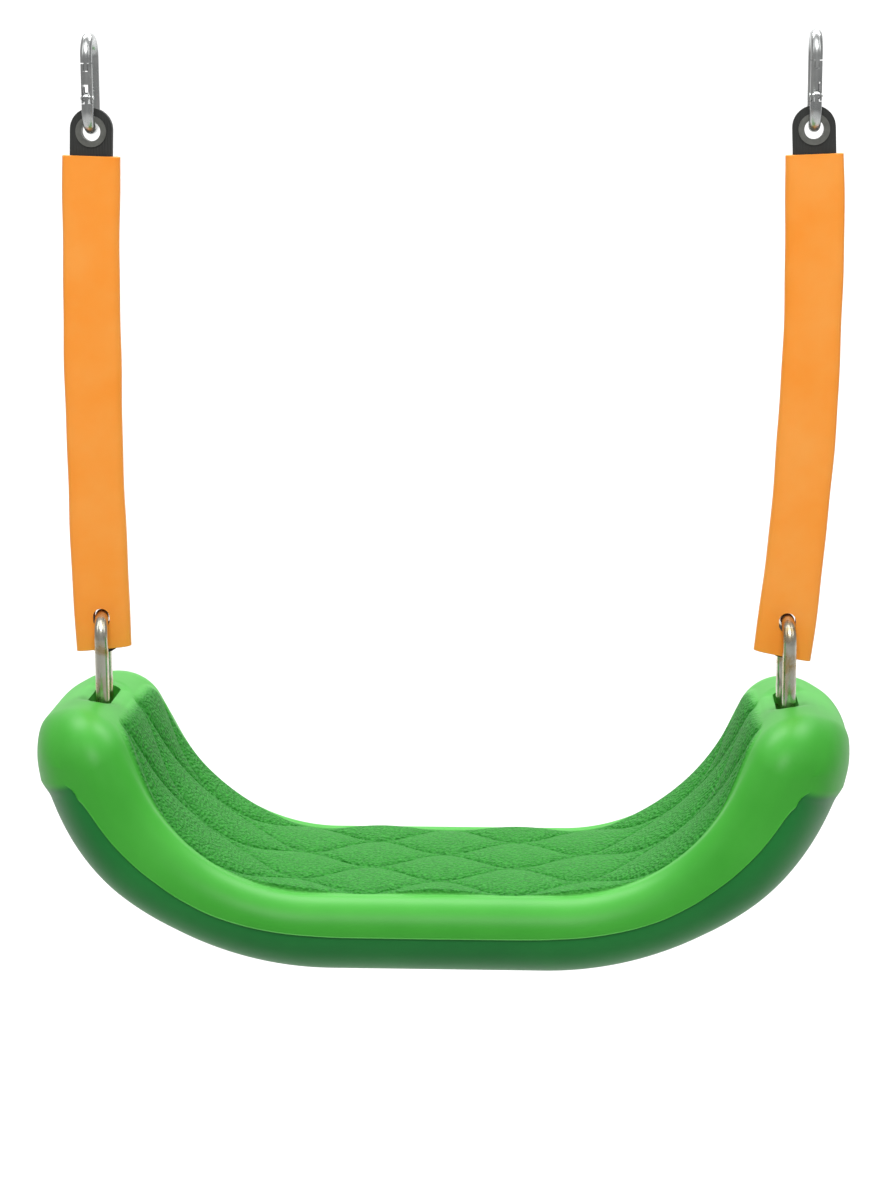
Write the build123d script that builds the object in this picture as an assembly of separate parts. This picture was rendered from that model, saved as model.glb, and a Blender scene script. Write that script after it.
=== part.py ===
"""U-shaped child's swing: a hollow blow-moulded seat on two sleeved belts, each hung from a snap hook.

Frame: X runs along the seat from horn to horn, -Y is the front, +Z is up. The origin lies on
the seat's centre plane, at the height where the beam's eyes bear inside the hooks' top bends.
All sizes are in millimetres.
"""
from build123d import *
import os
from math import cos, hypot, radians, sin, sqrt, tan

# --- Seat: a U of constant section, cut to a rounded rectangle in plan ---
SEAT_WIDTH = 430.0        # outside of one horn to outside of the other
SEAT_DEPTH = 165.0        # front edge to back edge
SEAT_CORNER_R = 52.0      # plan corners
PLAN_CLEAR = 1.0          # plan outline outside the horns, so that only its corners cut
SEAT_EDGE_R = 20.0        # rolled rim and underside edge
SEAT_THICKNESS = 44.0     # under the child, top to underside
SEAT_WALL = 3.0           # blow-moulded wall
HORN_HEIGHT = 136.2       # crest of the horn above the underside
HORN_FOOT = 89.4          # outside of the horn to where its inner slope would meet the floor
HORN_SLOPE = 65.2         # degrees, inner face of the horn above horizontal
SHOULDER_FALL = 24.8      # degrees, top of the horn falling outwards
HORN_FLARE = 22.9         # degrees, outer face of the horn from vertical
BELLY_FOOT = 116.9        # outside of the horn to where the underside would start to rise
BELLY_RISE = 27.0         # degrees, underside towards the horn
BELLY_R = 180.0           # round at the start of that rise
BASE_R = 148.0            # round under the horn
SHOULDER_R = 23.0
CREST_R = 28.2
TROUGH_R = 98.0           # round between floor and horn

# --- Link: a welded oval ring in the YZ plane ---
LINK_INSET = 33.2         # outside of the horn to the ring's plane
LINK_WIRE = 7.5
LINK_BEND_R = 11.0        # centreline of each end
LINK_STRAIGHT = 54.4      # between the centres of the two ends

# --- Slot and tunnel that take the link into the horn ---
SLOT_WIDTH = 12.0         # along X
SLOT_LENGTH = 42.0        # along Y
TUNNEL_WALL = 3.0
TUNNEL_FLOOR_GAP = 2.0    # under the turning link

# --- Anchor bolt through the horn, along X ---
BOLT_HEIGHT = 110.0       # above the seat's underside
BOLT_D = 8.0
BOLT_LENGTH = 35.0
BOLT_HOLE_GAP = 0.25      # radial
HEAD_D = 14.0
HEAD_HEIGHT = 5.0
SOCKET_FLATS = 5.0
SOCKET_DEPTH = 3.0
WASHER_D = 16.0
WASHER_THICKNESS = 1.6
COUNTERBORE_D = 18.0
COUNTERBORE_DEPTH = 16.0  # from the widest point of the seat
BOSS_WALL = 4.0
BUSHING_WALL = 1.3
BUSHING_END_GAP = 0.2
BUSHING_BORE_GAP = 0.2    # radial
INSERT_WALL = 2.45
INSERT_LENGTH = 12.5
INSERT_BORE_DEPTH = 11.0
INSERT_RECESS = 0.5       # below the tunnel's wall
INSERT_BORE_GAP = 0.05    # radial
CAP_THICKNESS = 2.5
CAP_SKIRT = 4.0
CAP_WALL = 1.6
CAP_RECESS = 4.0          # from the widest point of the seat
CAP_GAP = 0.15            # radial

# --- Belt and its sleeve: flat, facing the front, bowed a little outwards ---
BELT_WIDTH = 22.0
BELT_THICKNESS = 4.0
BELT_TOP_END = 12.0       # upper eyelet to the belt's end
BELT_LOW_END = 20.6       # lower eyelet to the belt's end
SLEEVE_WIDTH = 30.0
SLEEVE_WALL = 1.4
SLEEVE_GAP = 0.9          # belt face to sleeve wall
SLEEVE_LENGTH = 259.4
SLEEVE_TOP_GAP = 13.0     # upper eyelet to the sleeve's top end
EYELET_INSET = 18.0       # sleeve's bottom end to the lower eyelet
SLEEVE_HOLE_GAP = 1.0     # each side of the link
HOOK_LEAN = {"left": -1.5, "right": 9.0}   # hook further out than the link
BELT_BOW = {"left": 2.1, "right": 5.0}

# --- Eyelets ---
EYELET_BORE = 10.0
EYELET_WALL = 1.0
EYELET_FLANGE = 3.0       # beyond the bore, radial
EYELET_LIP = 0.7
EYELET_FIT = 0.05         # radial, in the belt

# --- Snap hook: bent wire with a sprung gate on the front ---
HOOK_WIRE = 6.0
HOOK_BEND_R = 10.0        # centreline of both bends
HOOK_STRAIGHT = 26.0      # between the centres of the two bends
RIVET_RISE = 6.0          # lower bend's centre to the gate's rivet
RIVET_D = 2.2
RIVET_PROUD = 0.3
RIVET_GAP = 0.08          # radial
TONGUE_THICKNESS = 1.8
TONGUE_REACH = 2.6        # past the rivet
FORK_WIDTH = 4.0
FORK_DEPTH = 6.5          # past the rivet
NOSE_DROP = 2.5           # top bend's centre to the nose's shoulder
NOSE_REACH = 4.0
NOSE_GAP = 0.5            # gate's end to the nose's shoulder
SHOULDER_GAP = 0.3        # gate's round foot to the wire's end
SPRING_WIRE = 0.8
SPRING_LEG = 5.5
SPRING_GAP = 0.15

# --- Shared ---
SEATED_GAP = 0.1          # between metal parts that bear on each other

# Distances from the seat's centre plane
FLOOR_HALF = SEAT_WIDTH / 2 - HORN_FOOT
BELLY_HALF = SEAT_WIDTH / 2 - BELLY_FOOT
LINK_X = SEAT_WIDTH / 2 - LINK_INSET
HOOK_X = {side: LINK_X + lean for side, lean in HOOK_LEAN.items()}

# Heights, worked down from the hooks
HOOK_TOP_Z = HOOK_WIRE / 2 - HOOK_BEND_R
HOOK_LOW_Z = HOOK_TOP_Z - HOOK_STRAIGHT
EYELET_HALF = BELT_THICKNESS / 2 + EYELET_LIP
BUSHING_D = BOLT_D + 2 * (BUSHING_BORE_GAP + BUSHING_WALL)
INSERT_D = BOLT_D + 2 * (INSERT_BORE_GAP + INSERT_WALL)


def eyelet_drop(bend_r, wire):
    """Distance from a bend's centre to the eyelet that bears on the inside of that bend."""
    inner_r = bend_r - wire / 2 - SEATED_GAP
    return sqrt(inner_r**2 - EYELET_HALF**2) + EYELET_BORE / 2


UPPER_EYELET_Z = HOOK_LOW_Z - eyelet_drop(HOOK_BEND_R, HOOK_WIRE)
SLEEVE_TOP_Z = UPPER_EYELET_Z - SLEEVE_TOP_GAP
SLEEVE_LOW_Z = SLEEVE_TOP_Z - SLEEVE_LENGTH
LOWER_EYELET_Z = SLEEVE_LOW_Z + EYELET_INSET
LINK_TOP_Z = LOWER_EYELET_Z - eyelet_drop(LINK_BEND_R, LINK_WIRE)
LINK_LOW_Z = LINK_TOP_Z - LINK_STRAIGHT
LINK_INNER_R = LINK_BEND_R - LINK_WIRE / 2
LINK_OUTER_R = LINK_BEND_R + LINK_WIRE / 2
BOLT_Z = LINK_LOW_Z - (LINK_INNER_R - SEATED_GAP - BUSHING_D / 2)
TUNNEL_FLOOR_Z = LINK_LOW_Z - LINK_OUTER_R - TUNNEL_FLOOR_GAP
SEAT_BASE_Z = BOLT_Z - BOLT_HEIGHT

SLEEVE_THICKNESS = BELT_THICKNESS + 2 * SLEEVE_GAP + 2 * SLEEVE_WALL
COUNTERBORE_X = SEAT_WIDTH / 2 - COUNTERBORE_DEPTH
TUNNEL_INNER_X = LINK_X - SLOT_WIDTH / 2
TUNNEL_OUTER_X = LINK_X + SLOT_WIDTH / 2
INSERT_FACE_X = TUNNEL_INNER_X - INSERT_RECESS


def to_side(solid, side):
    """Parts are drawn on the right, at +X; the left ones are their mirror image."""
    return mirror(solid, Plane.YZ) if side == "left" else solid


def rod(x_start, x_end, diameter, y=0.0, z=0.0):
    """A round bar along X."""
    section = Plane(origin=(x_start, y, z), z_dir=(1, 0, 0)) * Circle(diameter / 2)
    return extrude(section, x_end - x_start)


def block(x0, x1, y0, y1, z0, z1):
    return Pos((x0 + x1) / 2, (y0 + y1) / 2, (z0 + z1) / 2) * Box(x1 - x0, y1 - y0, z1 - z0)


# --- Seat -------------------------------------------------------------------------------------

def seat_outline(inset):
    """Section of the seat in the XZ plane: ten corners, each with its own round.

    An inset moves every side in by that much and keeps the centres of the rounds.
    """
    slope, fall = radians(HORN_SLOPE), radians(SHOULDER_FALL)
    flare, rise = radians(HORN_FLARE), radians(BELLY_RISE)
    inner_normal = Vector(-sin(slope), cos(slope))
    top_normal = Vector(sin(fall), cos(fall))
    side_normal = Vector(cos(flare), -sin(flare))
    crest_r, shoulder_r = CREST_R - inset, SHOULDER_R - inset
    crest_offset = (inner_normal + top_normal) * (crest_r / (1 + inner_normal.dot(top_normal)))
    side_offset = (top_normal + side_normal) * (shoulder_r / (1 + top_normal.dot(side_normal)))

    def inner_x(z):
        return FLOOR_HALF + (z - SEAT_THICKNESS) / tan(slope) + inset / sin(slope)

    floor_z = SEAT_THICKNESS - inset
    crest_z = HORN_HEIGHT - CREST_R + crest_offset.Y
    side_x = SEAT_WIDTH / 2 - SHOULDER_R + side_offset.X
    side_z = crest_z - (side_x - inner_x(crest_z)) * tan(fall)
    belly_x = BELLY_HALF - inset * tan(rise / 2)
    base_x = side_x - (side_z - inset + belly_x * tan(rise)) * tan(flare)
    base_x /= 1 - tan(rise) * tan(flare)
    base_z = inset + (base_x - belly_x) * tan(rise)

    right = [(belly_x, inset), (base_x, base_z), (side_x, side_z)]
    right += [(inner_x(crest_z), crest_z), (inner_x(floor_z), floor_z)]
    left = [(-x, z) for x, z in reversed(right)]
    rounds = [BELLY_R - inset, BASE_R - inset, shoulder_r, crest_r, TROUGH_R + inset]
    return make_face(FilletPolyline(*right, *left, radius=rounds + rounds[::-1], close=True))


def seat_blank(inset):
    """The seat's outer form, or, with an inset, the hollow inside it."""
    band = extrude(Plane.XZ * seat_outline(inset), SEAT_DEPTH / 2 - inset, both=True)
    plan_width = SEAT_WIDTH + 2 * PLAN_CLEAR - 2 * inset
    plan = RectangleRounded(plan_width, SEAT_DEPTH - 2 * inset, SEAT_CORNER_R - inset)
    solid = band & extrude(plan, 2 * HORN_HEIGHT, both=True)

    def runs_along(edge, direction):
        return edge.geom_type == GeomType.LINE and abs(edge.tangent_at(0.5).dot(direction)) > 0.99

    rim = [e for e in solid.edges() if not runs_along(e, Vector(0, 1, 0))]
    rim = [e for e in rim if not runs_along(e, Vector(0, 0, 1))]
    return Pos(0, 0, SEAT_BASE_Z) * fillet(rim, SEAT_EDGE_R - inset)


def horn_bosses(side):
    """Walls moulded round the link's tunnel, and the two bosses that carry the bolt."""
    half_x = SLOT_WIDTH / 2 + TUNNEL_WALL
    half_y = SLOT_LENGTH / 2 + TUNNEL_WALL
    top = SEAT_BASE_Z + HORN_HEIGHT
    tunnel = block(LINK_X - half_x, LINK_X + half_x, -half_y, half_y,
                   TUNNEL_FLOOR_Z - TUNNEL_WALL, top)
    outer = rod(LINK_X, SEAT_WIDTH / 2, COUNTERBORE_D + 2 * BOSS_WALL, z=BOLT_Z)
    insert_back = INSERT_FACE_X - INSERT_LENGTH - BOSS_WALL
    inner = rod(insert_back, LINK_X, INSERT_D + 2 * BOSS_WALL, z=BOLT_Z)
    return to_side(tunnel + outer + inner, side)


def horn_cuts(side):
    """Slot, bolt hole, counterbore and the insert's pocket."""
    top = SEAT_BASE_Z + HORN_HEIGHT + SEAT_WALL
    slot = SlotOverall(SLOT_LENGTH, SLOT_WIDTH, rotation=90)
    tunnel = extrude(Pos(LINK_X, 0, TUNNEL_FLOOR_Z) * slot, top - TUNNEL_FLOOR_Z)
    hole = rod(LINK_X, COUNTERBORE_X, BOLT_D + 2 * BOLT_HOLE_GAP, z=BOLT_Z)
    counterbore = rod(COUNTERBORE_X, SEAT_WIDTH / 2 + SEAT_WALL, COUNTERBORE_D, z=BOLT_Z)
    pocket = rod(INSERT_FACE_X - INSERT_LENGTH, LINK_X, INSERT_D, z=BOLT_Z)
    return to_side(tunnel + hole + counterbore + pocket, side)


def seat_shell():
    outside = seat_blank(0)
    inside = seat_blank(SEAT_WALL)
    for side in ("left", "right"):
        inside -= horn_bosses(side)
    shell = outside - inside
    for side in ("left", "right"):
        shell -= horn_cuts(side)
    return shell


# --- Anchor bolt and what sits on it ----------------------------------------------------------

def anchor_bolt(side):
    seat_x = COUNTERBORE_X + WASHER_THICKNESS
    shank = rod(seat_x - BOLT_LENGTH, seat_x, BOLT_D, z=BOLT_Z)
    head = rod(seat_x, seat_x + HEAD_HEIGHT, HEAD_D, z=BOLT_Z)
    head = fillet(head.edges().sort_by(Axis.X)[-1], HEAD_HEIGHT / 3)
    flats = RegularPolygon(SOCKET_FLATS / 2, 6, major_radius=False)
    mouth = Plane(origin=(seat_x + HEAD_HEIGHT - SOCKET_DEPTH, 0, BOLT_Z), z_dir=(1, 0, 0))
    return to_side(shank + head - extrude(mouth * flats, SOCKET_DEPTH), side)


def bolt_washer(side):
    disc = rod(COUNTERBORE_X, COUNTERBORE_X + WASHER_THICKNESS, WASHER_D, z=BOLT_Z)
    hole = rod(COUNTERBORE_X, SEAT_WIDTH / 2, BOLT_D + 2 * BOLT_HOLE_GAP, z=BOLT_Z)
    return to_side(disc - hole, side)


def bolt_bushing(side):
    start, end = TUNNEL_INNER_X + BUSHING_END_GAP, TUNNEL_OUTER_X - BUSHING_END_GAP
    tube = rod(start, end, BUSHING_D, z=BOLT_Z)
    return to_side(tube - rod(start, end, BOLT_D + 2 * BUSHING_BORE_GAP, z=BOLT_Z), side)


def threaded_insert(side):
    """Moulded-in metal insert; its thread is drawn as a plain bore."""
    body = rod(INSERT_FACE_X - INSERT_LENGTH, INSERT_FACE_X, INSERT_D, z=BOLT_Z)
    bore_start = INSERT_FACE_X - INSERT_BORE_DEPTH
    bore = rod(bore_start, INSERT_FACE_X, BOLT_D + 2 * INSERT_BORE_GAP, z=BOLT_Z)
    return to_side(body - bore, side)


def bolt_cap(side):
    """Snap-in plug that closes the counterbore."""
    face_x = SEAT_WIDTH / 2 - CAP_RECESS
    back_x = face_x - CAP_THICKNESS
    diameter = COUNTERBORE_D - 2 * CAP_GAP
    disc = rod(back_x, face_x, diameter, z=BOLT_Z)
    skirt = rod(back_x - CAP_SKIRT, back_x, diameter, z=BOLT_Z)
    bore = rod(back_x - CAP_SKIRT, back_x, diameter - 2 * CAP_WALL, z=BOLT_Z)
    return to_side(disc + (skirt - bore), side)


# --- Link -------------------------------------------------------------------------------------

def link_ring(side):
    low, top = (LINK_BEND_R, LINK_LOW_Z), (LINK_BEND_R, LINK_TOP_Z)
    path = Wire([
        Line(low, top),
        CenterArc((0, LINK_TOP_Z), LINK_BEND_R, 0, 180),
        Line((-LINK_BEND_R, LINK_TOP_Z), (-LINK_BEND_R, LINK_LOW_Z)),
        CenterArc((0, LINK_LOW_Z), LINK_BEND_R, 180, 180),
    ])
    path = Plane.YZ * path
    section = Plane(origin=path @ 0, z_dir=path % 0) * Circle(LINK_WIRE / 2)
    return to_side(Pos(LINK_X, 0, 0) * sweep(section, path), side)


# --- Belt, sleeve and eyelets -----------------------------------------------------------------

def belt_x(side, z):
    """Centre of the belt at a height: an arc from the lower eyelet to the upper one."""
    rise, run = UPPER_EYELET_Z - LOWER_EYELET_Z, HOOK_X[side] - LINK_X
    chord, bow = hypot(rise, run), BELT_BOW[side]
    radius = chord**2 / (8 * bow) + bow / 2
    depth = radius - bow
    centre_x = (HOOK_X[side] + LINK_X) / 2 - depth * rise / chord
    centre_z = (UPPER_EYELET_Z + LOWER_EYELET_Z) / 2 + depth * run / chord
    return centre_x + sqrt(radius**2 - (z - centre_z)**2)


def belt_arc(side, low_z, top_z):
    """The belt's centreline, drawn flat with X across and Z up."""
    heights = (low_z, (low_z + top_z) / 2, top_z)
    return ThreePointArc(*((belt_x(side, z), z) for z in heights))


def load_belt(side):
    low_z = LOWER_EYELET_Z - BELT_LOW_END + BELT_WIDTH / 2
    top_z = UPPER_EYELET_Z + BELT_TOP_END - BELT_WIDTH / 2
    strip = SlotArc(belt_arc(side, low_z, top_z), BELT_WIDTH)
    belt = extrude(Plane.XZ * strip, BELT_THICKNESS / 2, both=True)
    hole_r = EYELET_BORE / 2 + EYELET_WALL + EYELET_FIT
    for z in (LOWER_EYELET_Z, UPPER_EYELET_Z):
        hole = Plane.XZ * Pos(belt_x(side, z), z) * Circle(hole_r)
        belt -= extrude(hole, BELT_THICKNESS, both=True)
    return to_side(belt, side)


def flat_tube(side, width, thickness):
    path = Plane.XZ * belt_arc(side, SLEEVE_LOW_Z, SLEEVE_TOP_Z)
    start = Plane(origin=path @ 0, x_dir=(path % 0).cross(Vector(0, 1, 0)), z_dir=path % 0)
    return sweep(start * SlotOverall(width, thickness), path)


def belt_sleeve(side):
    """Flattened soft tube over the belt, open at both ends, with a hole front and back for the link."""
    inner_width = SLEEVE_WIDTH - 2 * SLEEVE_WALL
    inner_thickness = SLEEVE_THICKNESS - 2 * SLEEVE_WALL
    tube = flat_tube(side, SLEEVE_WIDTH, SLEEVE_THICKNESS)
    tube -= flat_tube(side, inner_width, inner_thickness)
    hole_width = LINK_WIRE + 2 * SLEEVE_HOLE_GAP
    hole_top = LINK_TOP_Z + LINK_OUTER_R + SLEEVE_HOLE_GAP
    half = SLEEVE_THICKNESS / 2
    hole_low = LINK_TOP_Z + sqrt(LINK_INNER_R**2 - half**2) - SLEEVE_HOLE_GAP
    hole = SlotOverall(hole_top - hole_low, hole_width, rotation=90)
    hole = Plane.XZ * Pos(LINK_X, (hole_top + hole_low) / 2) * hole
    return to_side(tube - extrude(hole, SLEEVE_THICKNESS, both=True), side)


def eyelet(side, z):
    """Metal grommet: a short tube through the belt, with a flange on each face."""
    centre = Plane.XZ * Pos(belt_x(side, z), z)
    bore_r = EYELET_BORE / 2
    barrel = extrude(centre * Circle(bore_r + EYELET_WALL), EYELET_HALF, both=True)
    flanges = extrude(centre * Circle(bore_r + EYELET_FLANGE), EYELET_HALF, both=True)
    flanges -= extrude(centre * Circle(bore_r + EYELET_FLANGE), BELT_THICKNESS / 2, both=True)
    return to_side(barrel + flanges - extrude(centre * Circle(bore_r), EYELET_HALF, both=True), side)


# --- Snap hook --------------------------------------------------------------------------------

RIVET_Y = -HOOK_BEND_R
RIVET_Z = HOOK_LOW_Z + RIVET_RISE
WIRE_END_Z = RIVET_Z - HOOK_WIRE / 2 - SHOULDER_GAP
NOSE_Z = HOOK_TOP_Z - NOSE_DROP
GATE_TOP_Z = NOSE_Z - NOSE_GAP


def upright_wire(z0, z1):
    """A stretch of the hook's wire on the gate's side."""
    return extrude(Pos(0, RIVET_Y, z0) * Circle(HOOK_WIRE / 2), z1 - z0)


def slab(half_x, z0, z1):
    return block(-half_x, half_x, RIVET_Y - HOOK_WIRE, RIVET_Y + HOOK_WIRE, z0, z1)


def snap_hook_body(side):
    path = Wire([
        Line((RIVET_Y, WIRE_END_Z), (RIVET_Y, HOOK_LOW_Z)),
        CenterArc((0, HOOK_LOW_Z), HOOK_BEND_R, 180, 180),
        Line((HOOK_BEND_R, HOOK_LOW_Z), (HOOK_BEND_R, HOOK_TOP_Z)),
        CenterArc((0, HOOK_TOP_Z), HOOK_BEND_R, 0, 180),
        Line((RIVET_Y, HOOK_TOP_Z), (RIVET_Y, NOSE_Z)),
    ])
    path = Plane.YZ * path
    section = Plane(origin=path @ 0, z_dir=path % 0) * Circle(HOOK_WIRE / 2)
    half = TONGUE_THICKNESS / 2
    hinge_tongue = upright_wire(WIRE_END_Z, RIVET_Z) & slab(half, WIRE_END_Z, RIVET_Z)
    hinge_tongue += rod(-half, half, 2 * TONGUE_REACH, RIVET_Y, RIVET_Z)
    nose_low = NOSE_Z - NOSE_REACH
    nose_tongue = upright_wire(nose_low, NOSE_Z) & slab(half, nose_low, NOSE_Z)
    body = sweep(section, path) + hinge_tongue + nose_tongue
    body -= rod(-half, half, RIVET_D + 2 * RIVET_GAP, RIVET_Y, RIVET_Z)
    return to_side(Pos(HOOK_X[side], 0, 0) * body, side)


def snap_hook_gate(side):
    """Rod with a round forked foot on the rivet and a fork that takes the nose's tongue."""
    radius = HOOK_WIRE / 2
    rod_part = upright_wire(RIVET_Z, GATE_TOP_Z)
    foot = upright_wire(RIVET_Z - radius, RIVET_Z) & rod(-radius, radius, HOOK_WIRE, RIVET_Y, RIVET_Z)
    gate = rod_part + foot
    gate -= slab(FORK_WIDTH / 2, RIVET_Z - HOOK_WIRE, RIVET_Z + FORK_DEPTH)
    nose_low = NOSE_Z - NOSE_REACH - NOSE_GAP
    gate -= slab(TONGUE_THICKNESS / 2 + NOSE_GAP / 2, nose_low, NOSE_Z)
    gate -= rod(-radius, radius, RIVET_D + 2 * RIVET_GAP, RIVET_Y, RIVET_Z)
    return to_side(Pos(HOOK_X[side], 0, 0) * gate, side)


def gate_rivet(side):
    half = HOOK_WIRE / 2 + RIVET_PROUD
    return to_side(Pos(HOOK_X[side], 0, 0) * rod(-half, half, RIVET_D, RIVET_Y, RIVET_Z), side)


def gate_spring(side):
    """Torsion spring on the rivet, beside the tongue, with its leg up inside the gate's fork."""
    start = TONGUE_THICKNESS / 2 + SPRING_GAP / 2
    end = start + SPRING_WIRE
    inner = RIVET_D + 2 * SPRING_GAP
    coil = rod(start, end, inner + 2 * SPRING_WIRE, RIVET_Y, RIVET_Z)
    coil -= rod(start, end, inner, RIVET_Y, RIVET_Z)
    leg_z = RIVET_Z + (inner + SPRING_WIRE) / 2
    leg_base = Pos((start + end) / 2, RIVET_Y, leg_z)
    leg = extrude(leg_base * Circle(SPRING_WIRE / 2), RIVET_Z + SPRING_LEG - leg_z)
    return to_side(Pos(HOOK_X[side], 0, 0) * (coil + leg), side)


# --- Write one file per node ------------------------------------------------------------------

os.makedirs("parts", exist_ok=True)
export_step(seat_shell(), "parts/seat_shell.step")
PER_SIDE = {
    "belt_sleeve": belt_sleeve,
    "load_belt": load_belt,
    "link_ring": link_ring,
    "anchor_bolt": anchor_bolt,
    "bolt_washer": bolt_washer,
    "bolt_bushing": bolt_bushing,
    "threaded_insert": threaded_insert,
    "bolt_cap": bolt_cap,
    "snap_hook_body": snap_hook_body,
    "snap_hook_gate": snap_hook_gate,
    "gate_rivet": gate_rivet,
    "gate_spring": gate_spring,
}
for side in ("left", "right"):
    for piece, make in PER_SIDE.items():
        export_step(make(side), f"parts/{side}_{piece}.step")
    export_step(eyelet(side, LOWER_EYELET_Z), f"parts/{side}_lower_eyelet.step")
    export_step(eyelet(side, UPPER_EYELET_Z), f"parts/{side}_upper_eyelet.step")
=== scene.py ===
from math import atan2, ceil, cos, pi, radians, sin, tan

import bmesh
import bpy
import numpy as np
from mathutils import Matrix, Vector


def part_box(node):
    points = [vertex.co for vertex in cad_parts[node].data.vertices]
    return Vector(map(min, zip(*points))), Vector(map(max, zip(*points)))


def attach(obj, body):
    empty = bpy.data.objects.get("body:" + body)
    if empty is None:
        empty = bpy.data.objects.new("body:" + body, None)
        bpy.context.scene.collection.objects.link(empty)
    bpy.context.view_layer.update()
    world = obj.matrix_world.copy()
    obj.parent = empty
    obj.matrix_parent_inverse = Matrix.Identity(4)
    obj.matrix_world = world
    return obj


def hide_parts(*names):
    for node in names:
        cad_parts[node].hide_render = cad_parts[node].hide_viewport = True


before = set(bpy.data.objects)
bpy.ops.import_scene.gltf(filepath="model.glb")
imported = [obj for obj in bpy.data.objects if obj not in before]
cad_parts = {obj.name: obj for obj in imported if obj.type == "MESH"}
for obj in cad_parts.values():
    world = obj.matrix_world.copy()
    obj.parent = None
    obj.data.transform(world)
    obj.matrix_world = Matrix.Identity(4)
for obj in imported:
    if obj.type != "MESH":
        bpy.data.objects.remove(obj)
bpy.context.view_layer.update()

# ---------------------------------------------------------------------------------------------
# Studio: a camera level with the hooks, slightly right of the middle and looking down a little on
# the seat; one large soft light high in front of it and weaker ones above and at both sides; a
# plain pale paper floor well below the hanging seat, with its own light on the far sweep.
# ---------------------------------------------------------------------------------------------

camera_data = bpy.data.cameras.new("camera")
camera = bpy.data.objects.new("camera", camera_data)
bpy.context.collection.objects.link(camera)
bpy.context.scene.camera = camera

camera_place = (0.08693, -1.47866, -0.00012)
pitch, pan, roll = radians(11.07), radians(3.32), radians(-0.28)
forward = Vector((-sin(pan) * cos(pitch), cos(pan) * cos(pitch), -sin(pitch)))
level_right = forward.cross(Vector((0, 0, 1))).normalized()
level_up = level_right.cross(forward)
right = cos(roll) * level_right + sin(roll) * level_up
up = -sin(roll) * level_right + cos(roll) * level_up
camera.matrix_world = Matrix((
    (right.x, up.x, -forward.x, camera_place[0]),
    (right.y, up.y, -forward.y, camera_place[1]),
    (right.z, up.z, -forward.z, camera_place[2]),
    (0, 0, 0, 1),
))
camera_data.sensor_fit = "VERTICAL"
camera_data.sensor_height = 24.0
picture_height, focal_length = 1200, 2850                 # both in the same unit
camera_data.lens = focal_length / picture_height * camera_data.sensor_height
camera_data.clip_end = 50.0


def linear(hex_code):
    """An sRGB hex colour as the linear RGBA that the nodes take."""
    channels = [int(hex_code[i:i + 2], 16) / 255 for i in (1, 3, 5)]
    return tuple(c / 12.92 if c <= 0.04045 else ((c + 0.055) / 1.055) ** 2.4 for c in channels) + (1.0,)


def add(material, kind, settings=None, **inputs):
    """Adds a node. An input is named, or i6 for the one numbered 6; a socket given for it is linked,
    and anything else is its value."""
    tree = material.node_tree
    node = tree.nodes.new(kind)
    for name, value in (settings or {}).items():
        setattr(node, name, value)
    for name, value in inputs.items():
        key = int(name[1:]) if name[0] == "i" and name[1:].isdigit() else name.replace("_", " ")
        if isinstance(value, bpy.types.NodeSocket):
            tree.links.new(value, node.inputs[key])
        else:
            node.inputs[key].default_value = value
    return node


def new_material(name):
    """A material with an empty node tree."""
    material = bpy.data.materials.new(name)
    material.use_nodes = True
    material.node_tree.nodes.clear()
    return material


def soft_light(name, place, aim, width, height, watts):
    """A rectangular area light that lights the pieces and isn't seen itself."""
    data = bpy.data.lights.new(name, "AREA")
    data.shape = "RECTANGLE"
    data.size, data.size_y, data.energy = width, height, watts
    lamp = bpy.data.objects.new(name, data)
    bpy.context.collection.objects.link(lamp)
    lamp.location = place
    lamp.visible_camera = False
    lamp.rotation_euler = (Vector(aim) - Vector(place)).to_track_quat("-Z", "Y").to_euler()


soft_light("overhead_softbox", (-0.15, -0.75, 1.30), (0, -0.05, -0.38), 1.2, 0.8, 5)
soft_light("front_fill", (0.1, -2.0, 1.7), (0, 0, -0.25), 1.4, 0.9, 46)
soft_light("left_fill", (-1.3, -0.5, 0.8), (0, 0, -0.35), 0.7, 1.2, 3.5)
soft_light("right_fill", (1.3, -0.5, 0.8), (0, 0, -0.35), 0.7, 1.2, 3.5)
soft_light("backdrop_wash", (0, 1.5, 2.3), (0, 2.9, -0.4), 4.0, 1.0, 260)

world = bpy.data.worlds.new("white_studio")
bpy.context.scene.world = world
world.use_nodes = True
world.node_tree.nodes["Background"].inputs["Color"].default_value = (1, 1, 1, 1)
world.node_tree.nodes["Background"].inputs["Strength"].default_value = 0.28
bpy.context.scene.view_settings.view_transform = "Standard"

# Floor: one roll of matt paper that runs level under the swing and sweeps up far behind it. It
# takes light evenly and shows no gloss; its fibre is a faint cloud, drawn as coarse as 13 mm.
paper_z, paper_half, paper_front, bend_at, bend_round = -0.86, 6.0, -5.0, 2.6, 1.2
sweep_line = [(y, 0.0) for y in np.linspace(paper_front, bend_at, 20)]
sweep_line += [(bend_at + bend_round * sin(a), bend_round - bend_round * cos(a))
               for a in np.linspace(0.05, pi / 2, 24)]
sweep_line += [(bend_at + bend_round, z) for z in np.linspace(1.4, 4.5, 8)]
wide = 13                                                    # points across the roll
paper_points = [(x, y, z) for y, z in sweep_line for x in np.linspace(-paper_half, paper_half, wide)]
paper_faces = [(r * wide + c, r * wide + c + 1, (r + 1) * wide + c + 1, (r + 1) * wide + c)
               for r in range(len(sweep_line) - 1) for c in range(wide - 1)]
floor_mesh = bpy.data.meshes.new("studio_floor")
floor_mesh.from_pydata(paper_points, [], paper_faces)
floor_mesh.shade_smooth()
floor = bpy.data.objects.new("studio_floor", floor_mesh)
bpy.context.collection.objects.link(floor)
floor.location = (0, 0, paper_z)
paper = new_material("matt_white_backdrop_paper")
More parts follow.
